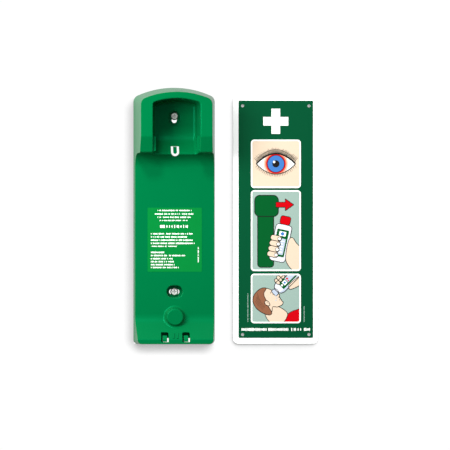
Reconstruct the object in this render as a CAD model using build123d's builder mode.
from build123d import *
import math
import os

os.makedirs("parts", exist_ok=True)

# Eyewash station: a green moulded wall holder for a 500 ml eyewash bottle and,
# beside it, the printed instruction sign. Both hang on one wall.
# The wall's face is the XZ plane, the fronts face -Y and +Z is up. The origin is
# the mouth of the upper wall plug. Heights are given above the holder's foot.

# Overall sizes of the holder
HOLDER_WIDTH = 95.4
HOLDER_HEIGHT = 300.0
HOOD_DEPTH = 55.0
PANEL_DEPTH = 12.0
LIP_DEPTH = PANEL_DEPTH + 19.0
WALL = 2.2
DRAFT = 6.2
ARCH_RADIUS = 105.0
SHOULDER_RADIUS = 8.5
FOOT_RADIUS = 5.0
EDGE_RADIUS = 0.4

# Side profile of the holder. The hood, its bay and the upper screw hang from the
# top of the holder, so that a taller holder takes a taller bottle.
LIP_HEIGHT = 5.7
LIP_BLEND = 3.0
SCOOP_TOP = 28.6
SCOOP_BLEND = 18.0
UNDERSIDE_BACK = HOLDER_HEIGHT - 78.0
UNDERSIDE_FRONT = HOLDER_HEIGHT - 76.5
UNDERSIDE_BLEND = 16.0
CHIN_TOP = HOLDER_HEIGHT - 58.0
CHIN_TILT = 20.0
CHIN_BLEND = 6.0
UNDERSIDE_EDGE = 2.5

# Bay in the hood for the cap of the bottle
BAY_WIDTH = 55.5
BAY_TOP = HOLDER_HEIGHT - 13.4
BAY_ARCH_RADIUS = 81.0
BAY_DRAFT = 3.0
BAY_BACK_DEPTH = PANEL_DEPTH - 4.0
BAY_SLOPE_TOP = HOLDER_HEIGHT - 60.0
BAY_SLOPE_BLEND = 18.0
RIDGE_DEPTH = PANEL_DEPTH + 10.0
RIDGE_HEIGHT = HOLDER_HEIGHT - 76.6
RIDGE_RADIUS = 1.0
BAY_FOOT = HOLDER_HEIGHT - 100.0
BAY_CORNER = 4.0
BAY_BACK_RADIUS = 4.0
BAY_MOUTH_RADIUS = 1.2
RAIL_TOP = HOLDER_HEIGHT - 57.5
RAIL_FOOT = HOLDER_HEIGHT - 75.0
RAIL_PROUD = 3.8
RAIL_LENGTH = 5.0
RAIL_SETBACK = 9.0

# Screws and the two slots they pass through
LOWER_SCREW_HEIGHT = 61.2
UPPER_SCREW_HEIGHT = HOLDER_HEIGHT - 33.3
HEAD_RADIUS = 4.7
HEAD_HEIGHT = 3.0
HEAD_RIM = 1.0
HEAD_CROWN = 0.6
HEAD_FLAT = 3.4
CROSS_LENGTH = 5.0
CROSS_WIDTH = 1.1
CROSS_DEPTH = 2.0
CROSS_TAPER = 8.0
SCREW_POINT = 4.0
THREAD_RADIUS = 2.25
CORE_RADIUS = 1.7
THREAD_PITCH = 1.8
SCREW_LENGTH = 40.0
FLOOR = 3.0
SCREW_PLAY = 0.75
UPPER_SLOT_LENGTH = 11.0
UPPER_RECESS = (13.0, 17.0)
UPPER_RECESS_EDGE = 0.8
LOWER_SLOT_LENGTH = 12.2
LOWER_RECESS = (18.5, 14.0)
LOWER_RECESS_EDGE = 1.2
SLOT_WIDTH = 2 * (THREAD_RADIUS + SCREW_PLAY)

# Wall plugs
PLUG_RADIUS = 4.0
PLUG_LENGTH = 40.0
PLUG_FIT = 0.05
PLUG_SLIT = 1.0
PLUG_COLLAR = 9.0
PLUG_TIP = 2.0

# Raised locating boss low on the panel
BOSS_HEIGHT = 31.5
BOSS_PROUD = 10.0
BOSS_BASE_RADIUS = 12.4
BOSS_TOP_RADIUS = 9.6
BOSS_TOP_EDGE = 1.5
BOSS_BASE_BLEND = 2.5

# Snap tongue under the cap bay
LATCH_TOP = HOLDER_HEIGHT - 68.9
LATCH_BOTTOM = HOLDER_HEIGHT - 80.3
LATCH_SLOT_WIDTH = 9.4
LATCH_GAP = 2.6
ROOT_GAP = 0.3

# Two snap tongues in the ledge
CLIP_OFFSET = 12.4
CLIP_SLOT_WIDTH = 8.8
CLIP_SLOT_FOOT = 2.5
CLIP_SLOT_TOP = 13.9
CLIP_WIDTH = 5.2
CLIP_TOP = 10.2
CLIP_SLOT_CORNER = 1.5
CLIP_CORNER = 1.0
RIB_OFFSET = 2.3
RIB_WIDTH = 1.8
RIB_FOOT = 7.0
RIB_TOP = 13.2
RIB_PROUD = 1.2

# Screen behind the ledge: the wall of the panel carried down past the clips,
# with a leg beside each clip
SCREEN_WIDTH = 44.0
SCREEN_FOOT = 7.0
SCREEN_LEG_OFFSET = 3.0
SCREEN_LEG_WIDTH = 4.0
SCREEN_LEG_FOOT = 1.5

# Stiffening ribs behind the panel
STIFFENER_THICKNESS = 1.6
STIFFENER_OFFSET = 20.0
STIFFENER_FOOT = 76.0
STIFFENER_TOP = HOLDER_HEIGHT - 104.0
STIFFENER_BACK_GAP = 1.0

# Label on the panel
LABEL_WIDTH = 63.6
LABEL_HEIGHT = 75.0
LABEL_FOOT = 84.5
LABEL_THICKNESS = 0.2
LABEL_CORNER = 1.0

# Instruction sign
SIGN_GAP = 21.5
SIGN_WIDTH = 100.0
SIGN_HEIGHT = 290.0
SIGN_THICKNESS = 2.0
SIGN_CORNER = 6.0
SIGN_CHAMFER = 0.3
SIGN_HOLE_RADIUS = 1.8
SIGN_HOLES = (78.0, 268.0)
FILM_MARGIN_SIDE = 6.25
FILM_MARGIN_TOP = 4.9
FILM_MARGIN_FOOT = 7.0
FILM_THICKNESS = 0.15
FILM_CORNER = 1.5

# How far cutting shapes run past the surfaces they cut
BEYOND = 10.0
OVERLAP = 0.5


def up(height):
    """Level in the part's frame of a height above the holder's foot."""
    return height - UPPER_SCREW_HEIGHT


def arched_outline(width, top, foot, arch_radius):
    """Front outline with a flat foot, straight sides and an arched head."""
    half = width / 2
    shoulder = top - arch_radius + math.sqrt(arch_radius**2 - half**2)
    with BuildSketch() as outline:
        with BuildLine():
            Polyline((half, shoulder), (half, foot), (-half, foot), (-half, shoulder))
            ThreePointArc((half, shoulder), (0, top), (-half, shoulder))
        make_face()
    return outline.face()


def rounded_profile(corners):
    """Closed outline through (x, y, radius) corners, each with its own rounding."""
    with BuildSketch() as profile:
        with BuildLine():
            Polyline(*[(x, y) for x, y, _ in corners], close=True)
        make_face()
        for x, y, radius in corners:
            if radius > 0:
                fillet(profile.vertices().sort_by_distance((x, y))[0], radius)
    return profile.face()


def holder_profile(back, foot):
    """Side view of the holder from the wall side out to the hood, lip and panel."""
    chin_setback = (CHIN_TOP - UNDERSIDE_FRONT) * math.tan(math.radians(CHIN_TILT))
    over = up(HOLDER_HEIGHT + BEYOND)
    return rounded_profile([
        (back, foot, 0),
        (-LIP_DEPTH, foot, 0),
        (-LIP_DEPTH, up(LIP_HEIGHT), LIP_BLEND),
        (-PANEL_DEPTH, up(SCOOP_TOP), SCOOP_BLEND),
        (-PANEL_DEPTH, up(UNDERSIDE_BACK), UNDERSIDE_BLEND),
        (-HOOD_DEPTH + chin_setback, up(UNDERSIDE_FRONT), UNDERSIDE_EDGE),
        (-HOOD_DEPTH, up(CHIN_TOP), CHIN_BLEND),
        (-HOOD_DEPTH, over, 0),
        (back, over, 0),
    ])


def bay_profile():
    """Side view of the free space of the cap bay, open to the front and below."""
    front = -HOOD_DEPTH - BEYOND
    return rounded_profile([
        (front, up(BAY_FOOT), 0),
        (-RIDGE_DEPTH, up(BAY_FOOT), 0),
        (-RIDGE_DEPTH, up(RIDGE_HEIGHT), RIDGE_RADIUS),
        (-BAY_BACK_DEPTH, up(BAY_SLOPE_TOP), BAY_SLOPE_BLEND),
        (-BAY_BACK_DEPTH, up(BAY_TOP + BEYOND), 0),
        (front, up(BAY_TOP + BEYOND), 0),
    ])


def scoop_y(height):
    """Y of the sloping face of the ledge at a height between lip and scoop top."""
    rise = (height - LIP_HEIGHT) / (SCOOP_TOP - LIP_HEIGHT)
    return -LIP_DEPTH + rise * (LIP_DEPTH - PANEL_DEPTH)


upper_slot_middle = UPPER_SCREW_HEIGHT + (SLOT_WIDTH - UPPER_SLOT_LENGTH) / 2
sign_middle = HOLDER_WIDTH / 2 + SIGN_GAP + SIGN_WIDTH / 2


def at_depth(edge, depth):
    """True for an edge that lies wholly at one distance from the wall."""
    box = edge.bounding_box()
    return abs(box.min.Y + depth) < 0.02 and abs(box.max.Y + depth) < 0.02


def meets_back_wall(edge):
    """True for an edge between the back wall of the bay and its sides or top."""
    box = edge.bounding_box()
    behind_ridge = box.min.Y > -RIDGE_DEPTH - 0.1
    above_ridge = box.max.Z > up(RIDGE_HEIGHT + 1)
    crosses_bay = abs(edge.center().X) < 0.1 and edge.geom_type == GeomType.LINE
    return behind_ridge and above_ridge and not crosses_bay


def rims_bay_mouth(edge):
    """True for an edge of the opening in the front face of the hood."""
    inside = abs(edge.center().X) < (BAY_WIDTH + EDGE_RADIUS) / 2
    return at_depth(edge, HOOD_DEPTH) and inside and edge.center().Z < up(BAY_TOP + 1)


def rings_boss(edge):
    """True for an edge where the foot of the boss meets the panel or the scoop."""
    box = edge.bounding_box()
    top = -PANEL_DEPTH - BOSS_PROUD + BOSS_TOP_EDGE
    return box.min.Y > top + 0.1 and box.max.Y < -PANEL_DEPTH + 0.1


def runs_outward(edge):
    """True for an edge that runs from the wall towards the front."""
    return abs(edge.tangent_at(0.5).Y) > 0.9


outer_outline = arched_outline(
    HOLDER_WIDTH, up(HOLDER_HEIGHT), up(-BEYOND), ARCH_RADIUS
)
inner_outline = arched_outline(
    HOLDER_WIDTH - 2 * WALL, up(HOLDER_HEIGHT - WALL), up(-BEYOND), ARCH_RADIUS - WALL
)
outer_profile = holder_profile(0, up(-BEYOND))
open_backed_profile = holder_profile(WALL + 1, up(0))
bay_outline = arched_outline(BAY_WIDTH, up(BAY_TOP), up(BAY_FOOT - 3 * BEYOND), BAY_ARCH_RADIUS)
tub_outline = arched_outline(
    BAY_WIDTH + 2 * WALL, up(BAY_TOP + WALL), up(BAY_FOOT - 3 * BEYOND), BAY_ARCH_RADIUS + WALL
)
bay_side = bay_profile()
boss_taper = math.degrees(math.atan((BOSS_BASE_RADIUS - BOSS_TOP_RADIUS) / BOSS_PROUD))
bay_front_plane = Plane(origin=(0, -HOOD_DEPTH, 0), x_dir=(-1, 0, 0), z_dir=(0, 1, 0))

# Free space of the cap bay
with BuildPart() as bay:
    with BuildSketch(bay_front_plane):
        add(bay_outline)
    extrude(amount=HOOD_DEPTH, taper=BAY_DRAFT)
    fillet(bay.edges().filter_by(runs_outward).group_by(Axis.Z)[-1], BAY_CORNER)
    with BuildSketch(Plane.YZ):
        add(bay_side)
    extrude(amount=HOLDER_WIDTH, both=True, mode=Mode.INTERSECT)
    fillet(bay.edges().filter_by(meets_back_wall), BAY_BACK_RADIUS)

# The same space grown by the wall of the moulding
with BuildPart() as tub:
    with BuildSketch(bay_front_plane):
        add(tub_outline)
    extrude(amount=HOOD_DEPTH, taper=BAY_DRAFT)
    fillet(tub.edges().filter_by(runs_outward).group_by(Axis.Z)[-1], BAY_CORNER + WALL)
    with BuildSketch(Plane.YZ):
        add(bay_side)
        offset(amount=WALL, kind=Kind.INTERSECTION)
    extrude(amount=HOLDER_WIDTH, both=True, mode=Mode.INTERSECT)

# Outer shape of the holder as a full block
with BuildPart() as block:
    with BuildSketch(Plane.XZ):
        add(outer_outline)
    extrude(amount=HOOD_DEPTH, taper=DRAFT)
    fillet(block.edges().filter_by(runs_outward).group_by(Axis.Z)[-1], SHOULDER_RADIUS)
    split(bisect_by=Plane.XY.offset(up(0)), keep=Keep.TOP)
    fillet(block.edges().filter_by(runs_outward).group_by(Axis.Z)[0], FOOT_RADIUS)
    with BuildSketch(Plane.YZ):
        add(outer_profile)
    extrude(amount=HOLDER_WIDTH, both=True, mode=Mode.INTERSECT)
    fillet(block.faces().sort_by(Axis.Y)[0].edges(), EDGE_RADIUS)

# Hollow behind the front walls, open at the back; the walls of the cap bay,
# the two screw cups and the stiffening ribs are left standing in it
with BuildPart() as hollow:
    with BuildSketch(Plane.XZ):
        add(inner_outline)
    extrude(amount=HOOD_DEPTH, taper=DRAFT)
    with BuildSketch(Plane.XZ):
        add(inner_outline)
    extrude(amount=-BEYOND)
    split(bisect_by=Plane.XY.offset(up(0)), keep=Keep.TOP)
    with BuildSketch(Plane.YZ):
        add(open_backed_profile)
        offset(amount=-WALL, kind=Kind.INTERSECTION, mode=Mode.REPLACE)
    extrude(amount=HOLDER_WIDTH, both=True, mode=Mode.INTERSECT)
    with BuildSketch(Plane.XZ.offset(PANEL_DEPTH - WALL)):
        with Locations((0, up(SCREEN_FOOT))):
            Rectangle(SCREEN_WIDTH, SCOOP_TOP - SCREEN_FOOT, align=(Align.CENTER, Align.MIN))
        with Locations((-SCREEN_LEG_OFFSET, up(SCREEN_LEG_FOOT))):
            with GridLocations(2 * CLIP_OFFSET, 0, 2, 1):
                Rectangle(SCREEN_LEG_WIDTH, SCREEN_FOOT - SCREEN_LEG_FOOT + OVERLAP,
                          align=(Align.CENTER, Align.MIN))
    extrude(amount=WALL, mode=Mode.SUBTRACT)
    with BuildSketch(Plane.XZ.offset(PANEL_DEPTH - WALL - OVERLAP)):
        with Locations((0, up(BOSS_HEIGHT))):
            Circle(BOSS_BASE_RADIUS - WALL)
    extrude(amount=BOSS_PROUD + OVERLAP, taper=boss_taper)
    add(tub.part, mode=Mode.SUBTRACT)
    with BuildSketch(Plane.XZ.offset(-BEYOND)):
        with Locations((0, up(upper_slot_middle))):
            SlotOverall(UPPER_RECESS[1] + 2 * WALL, UPPER_RECESS[0] + 2 * WALL, rotation=90)
        with Locations((0, up(LOWER_SCREW_HEIGHT))):
            SlotOverall(LOWER_RECESS[0] + 2 * WALL, LOWER_RECESS[1] + 2 * WALL)
    extrude(amount=BEYOND + PANEL_DEPTH, mode=Mode.SUBTRACT)
    with BuildSketch(Plane.XZ.offset(STIFFENER_BACK_GAP)):
        with Locations((0, up((STIFFENER_FOOT + STIFFENER_TOP) / 2))):
            with GridLocations(2 * STIFFENER_OFFSET, 0, 2, 1):
                Rectangle(STIFFENER_THICKNESS, STIFFENER_TOP - STIFFENER_FOOT)
    extrude(amount=PANEL_DEPTH, mode=Mode.SUBTRACT)

# Locating boss, rounded at its top
with BuildPart() as boss:
    with BuildSketch(Plane.XZ.offset(PANEL_DEPTH - WALL / 2)):
        with Locations((0, up(BOSS_HEIGHT))):
            Circle(BOSS_BASE_RADIUS)
    extrude(amount=BOSS_PROUD + WALL / 2, taper=boss_taper)
    fillet(boss.edges().filter_by(GeomType.CIRCLE).sort_by(Axis.Y)[0], BOSS_TOP_EDGE)

# The whole green moulding before its snap tongues are cut free
with BuildPart() as moulding:
    add(block.part)
    add(boss.part)
    boss_edges = moulding.edges(Select.LAST).filter_by(GeomType.LINE, reverse=True)
    boss_edges = boss_edges.filter_by(rings_boss)
    fillet(boss_edges, BOSS_BASE_BLEND)
    add(hollow.part, mode=Mode.SUBTRACT)
    add(bay.part, mode=Mode.SUBTRACT)
    fillet(moulding.edges().filter_by(rims_bay_mouth), BAY_MOUTH_RADIUS)
    # Recesses for the screw heads and the slots for the screws
    with BuildSketch(Plane.XZ.offset(FLOOR)):
        with Locations((0, up(upper_slot_middle))):
            SlotOverall(UPPER_RECESS[1], UPPER_RECESS[0], rotation=90)
        with Locations((0, up(LOWER_SCREW_HEIGHT))):
            SlotOverall(*LOWER_RECESS)
    extrude(amount=PANEL_DEPTH, mode=Mode.SUBTRACT)
    recess_edges = moulding.edges(Select.LAST)
    fillet(recess_edges.filter_by(lambda e: at_depth(e, PANEL_DEPTH)), LOWER_RECESS_EDGE)
    recess_edges = moulding.edges().filter_by(lambda e: at_depth(e, BAY_BACK_DEPTH))
    fillet(recess_edges.filter_by(
        lambda e: abs(e.center().X) < UPPER_RECESS[0] and e.length < 25), UPPER_RECESS_EDGE)
    with BuildSketch(Plane.XZ):
        with Locations((0, up(upper_slot_middle))):
            SlotOverall(UPPER_SLOT_LENGTH, SLOT_WIDTH, rotation=90)
        with Locations((0, up(LOWER_SCREW_HEIGHT))):
            SlotOverall(LOWER_SLOT_LENGTH, SLOT_WIDTH)
    extrude(amount=FLOOR, mode=Mode.SUBTRACT)
    # Rails that grip the cap on both sides of the bay's mouth
    with BuildSketch(Plane.XZ.offset(HOOD_DEPTH - RAIL_SETBACK - RAIL_LENGTH)):
        with Locations((0, up((RAIL_FOOT + RAIL_TOP) / 2))):
            with GridLocations(BAY_WIDTH - RAIL_PROUD + WALL / 2, 0, 2, 1):
                RectangleRounded(RAIL_PROUD + WALL / 2, RAIL_TOP - RAIL_FOOT, RAIL_PROUD / 2)
    extrude(amount=RAIL_LENGTH)
    # Two short ribs between the clips of the ledge
    for side in (-1, 1):
        with BuildSketch(Plane.YZ.offset(side * RIB_OFFSET)):
            with BuildLine():
                Polyline((scoop_y(RIB_FOOT) + WALL / 2, up(RIB_FOOT)),
                         (scoop_y(RIB_FOOT) - RIB_PROUD, up(RIB_FOOT)),
                         (scoop_y(RIB_TOP) - RIB_PROUD, up(RIB_TOP)),
                         (scoop_y(RIB_TOP) + WALL / 2, up(RIB_TOP)), close=True)
            make_face()
        extrude(amount=RIB_WIDTH / 2, both=True)

# Slot outlines round the three snap tongues, looking at the wall
with BuildSketch() as latch_slot:
    slot_end = up(LATCH_BOTTOM) + LATCH_SLOT_WIDTH / 2
    with Locations((0, slot_end)):
        Circle(LATCH_SLOT_WIDTH / 2)
    with Locations((0, (slot_end + up(LATCH_TOP)) / 2)):
        Rectangle(LATCH_SLOT_WIDTH, up(LATCH_TOP) - slot_end)

with BuildSketch() as latch_blade:
    blade_width = LATCH_SLOT_WIDTH - 2 * LATCH_GAP
    with Locations((0, slot_end)):
        Circle(blade_width / 2)
    with Locations((0, (slot_end + up(LATCH_TOP) - ROOT_GAP) / 2)):
        Rectangle(blade_width, up(LATCH_TOP) - ROOT_GAP - slot_end)

with BuildSketch() as clip_slot:
    Rectangle(CLIP_SLOT_WIDTH, CLIP_SLOT_TOP - CLIP_SLOT_FOOT, align=(Align.CENTER, Align.MIN))
    fillet(clip_slot.vertices().group_by(Axis.Y)[-1], CLIP_SLOT_CORNER)

with BuildSketch() as clip_blade:
    with Locations((0, ROOT_GAP)):
        Rectangle(CLIP_WIDTH, CLIP_TOP - CLIP_SLOT_FOOT - ROOT_GAP, align=(Align.CENTER, Align.MIN))
    fillet(clip_blade.vertices().group_by(Axis.Y)[-1], CLIP_CORNER)

with BuildPart() as holder_shell:
    add(moulding.part)
    with BuildSketch(Plane.XZ):
        add(latch_slot.sketch)
    extrude(amount=HOOD_DEPTH, mode=Mode.SUBTRACT)
    with BuildSketch(Plane.XZ.offset(PANEL_DEPTH)):
        with Locations((-CLIP_OFFSET, up(CLIP_SLOT_FOOT)), (CLIP_OFFSET, up(CLIP_SLOT_FOOT))):
            add(clip_slot.sketch)
    extrude(amount=HOOD_DEPTH, mode=Mode.SUBTRACT)

with BuildPart() as cap_latch_tongue:
    add(moulding.part)
    with BuildSketch(Plane.XZ):
        add(latch_blade.sketch)
    extrude(amount=HOOD_DEPTH, mode=Mode.INTERSECT)

with BuildPart() as base_clip_tongue_left:
    add(moulding.part)
    with BuildSketch(Plane.XZ.offset(PANEL_DEPTH)):
        with Locations((-CLIP_OFFSET, up(CLIP_SLOT_FOOT))):
            add(clip_blade.sketch)
    extrude(amount=HOOD_DEPTH, mode=Mode.INTERSECT)

with BuildPart() as base_clip_tongue_right:
    add(moulding.part)
    with BuildSketch(Plane.XZ.offset(PANEL_DEPTH)):
        with Locations((CLIP_OFFSET, up(CLIP_SLOT_FOOT))):
            add(clip_blade.sketch)
    extrude(amount=HOOD_DEPTH, mode=Mode.INTERSECT)

# Printed label on the flat of the panel
with BuildPart() as product_label:
    with BuildSketch(Plane.XZ.offset(PANEL_DEPTH)):
        with Locations((0, up(LABEL_FOOT + LABEL_HEIGHT / 2))):
            RectangleRounded(LABEL_WIDTH, LABEL_HEIGHT, LABEL_CORNER)
    extrude(amount=LABEL_THICKNESS)


def wall_screw(height):
    """Pan head screw with a cross recess, seated on the floor of its recess."""
    head_top = FLOOR + HEAD_HEIGHT
    with BuildPart() as screw:
        with BuildSketch(Plane.YZ):
            with BuildLine():
                start = (-FLOOR, up(height) + HEAD_RADIUS)
                crown = (-head_top + HEAD_CROWN, up(height) + HEAD_RADIUS - HEAD_CROWN)
                Polyline((-FLOOR, up(height)), start, (-FLOOR - HEAD_RIM, start[1]))
                ThreePointArc((-FLOOR - HEAD_RIM, start[1]), crown, (-head_top, up(height) + HEAD_FLAT))
                Polyline((-head_top, up(height) + HEAD_FLAT), (-head_top, up(height)),
                         (-FLOOR, up(height)))
            make_face()
            with BuildLine():
                shank_end = SCREW_LENGTH - FLOOR
                turns = int((shank_end - SCREW_POINT) / THREAD_PITCH)
                points = [(-FLOOR, up(height)),
                          (-FLOOR, up(height) + THREAD_RADIUS),
                          (0, up(height) + THREAD_RADIUS)]
                for turn in range(turns):
                    points.append(((turn + 0.5) * THREAD_PITCH, up(height) + CORE_RADIUS))
                    points.append(((turn + 1) * THREAD_PITCH, up(height) + THREAD_RADIUS))
                points.append((turns * THREAD_PITCH + 0.5, up(height) + CORE_RADIUS))
                points.append((shank_end, up(height)))
                Polyline(*points, close=True)
            make_face()
        revolve(axis=Axis((0, 0, up(height)), (0, 1, 0)))
        with BuildSketch(Plane.XZ.offset(head_top)):
            with Locations((0, up(height))):
                Rectangle(CROSS_LENGTH, CROSS_WIDTH)
                Rectangle(CROSS_WIDTH, CROSS_LENGTH)
        extrude(amount=-CROSS_DEPTH, taper=CROSS_TAPER, mode=Mode.SUBTRACT)
    return screw.part


def wall_plug(height):
    """Nylon plug with a collar end and four fingers that spread in the wall."""
    with BuildPart() as plug:
        with BuildSketch(Plane.XZ):
            with Locations((0, up(height))):
                Circle(PLUG_RADIUS)
        extrude(amount=-PLUG_LENGTH)
        with BuildSketch(Plane.XZ):
            with Locations((0, up(height))):
                Circle(THREAD_RADIUS + PLUG_FIT)
        extrude(amount=-PLUG_LENGTH, mode=Mode.SUBTRACT)
        with BuildSketch(Plane.XZ.offset(-PLUG_COLLAR)):
            with Locations((0, up(height))):
                Rectangle(PLUG_SLIT, 3 * PLUG_RADIUS, rotation=45)
                Rectangle(3 * PLUG_RADIUS, PLUG_SLIT, rotation=45)
        extrude(amount=-(PLUG_LENGTH - PLUG_COLLAR - PLUG_TIP), mode=Mode.SUBTRACT)
    return plug.part


upper_wall_screw = wall_screw(UPPER_SCREW_HEIGHT)
lower_wall_screw = wall_screw(LOWER_SCREW_HEIGHT)
upper_wall_plug = wall_plug(UPPER_SCREW_HEIGHT)
lower_wall_plug = wall_plug(LOWER_SCREW_HEIGHT)

# Instruction sign: a white plastic plate with a printed film on its face
with BuildPart() as sign_plate:
    with BuildSketch(Plane.XZ):
        with Locations((sign_middle, up(SIGN_HEIGHT / 2))):
            RectangleRounded(SIGN_WIDTH, SIGN_HEIGHT, SIGN_CORNER)
            with GridLocations(*SIGN_HOLES, 2, 2):
                Circle(SIGN_HOLE_RADIUS, mode=Mode.SUBTRACT)
    extrude(amount=SIGN_THICKNESS)
    chamfer(sign_plate.faces().sort_by(Axis.Y)[0].outer_wire().edges(), SIGN_CHAMFER)

with BuildPart() as sign_print_film:
    with BuildSketch(Plane.XZ.offset(SIGN_THICKNESS)):
        with Locations((sign_middle, up((FILM_MARGIN_FOOT + SIGN_HEIGHT - FILM_MARGIN_TOP) / 2))):
            RectangleRounded(SIGN_WIDTH - 2 * FILM_MARGIN_SIDE,
                             SIGN_HEIGHT - FILM_MARGIN_TOP - FILM_MARGIN_FOOT, FILM_CORNER)
        with Locations((sign_middle, up(SIGN_HEIGHT / 2))):
            with GridLocations(*SIGN_HOLES, 2, 2):
                Circle(SIGN_HOLE_RADIUS, mode=Mode.SUBTRACT)
    extrude(amount=FILM_THICKNESS)

pieces = {
    "holder_shell": holder_shell.part,
    "cap_latch_tongue": cap_latch_tongue.part,
    "base_clip_tongue_left": base_clip_tongue_left.part,
    "base_clip_tongue_right": base_clip_tongue_right.part,
    "product_label": product_label.part,
    "upper_wall_screw": upper_wall_screw,
    "lower_wall_screw": lower_wall_screw,
    "upper_wall_plug": upper_wall_plug,
    "lower_wall_plug": lower_wall_plug,
    "sign_plate": sign_plate.part,
    "sign_print_film": sign_print_film.part,
}
for label, piece in pieces.items():
    piece.label = label
    export_step(piece, "parts/" + label + ".step")
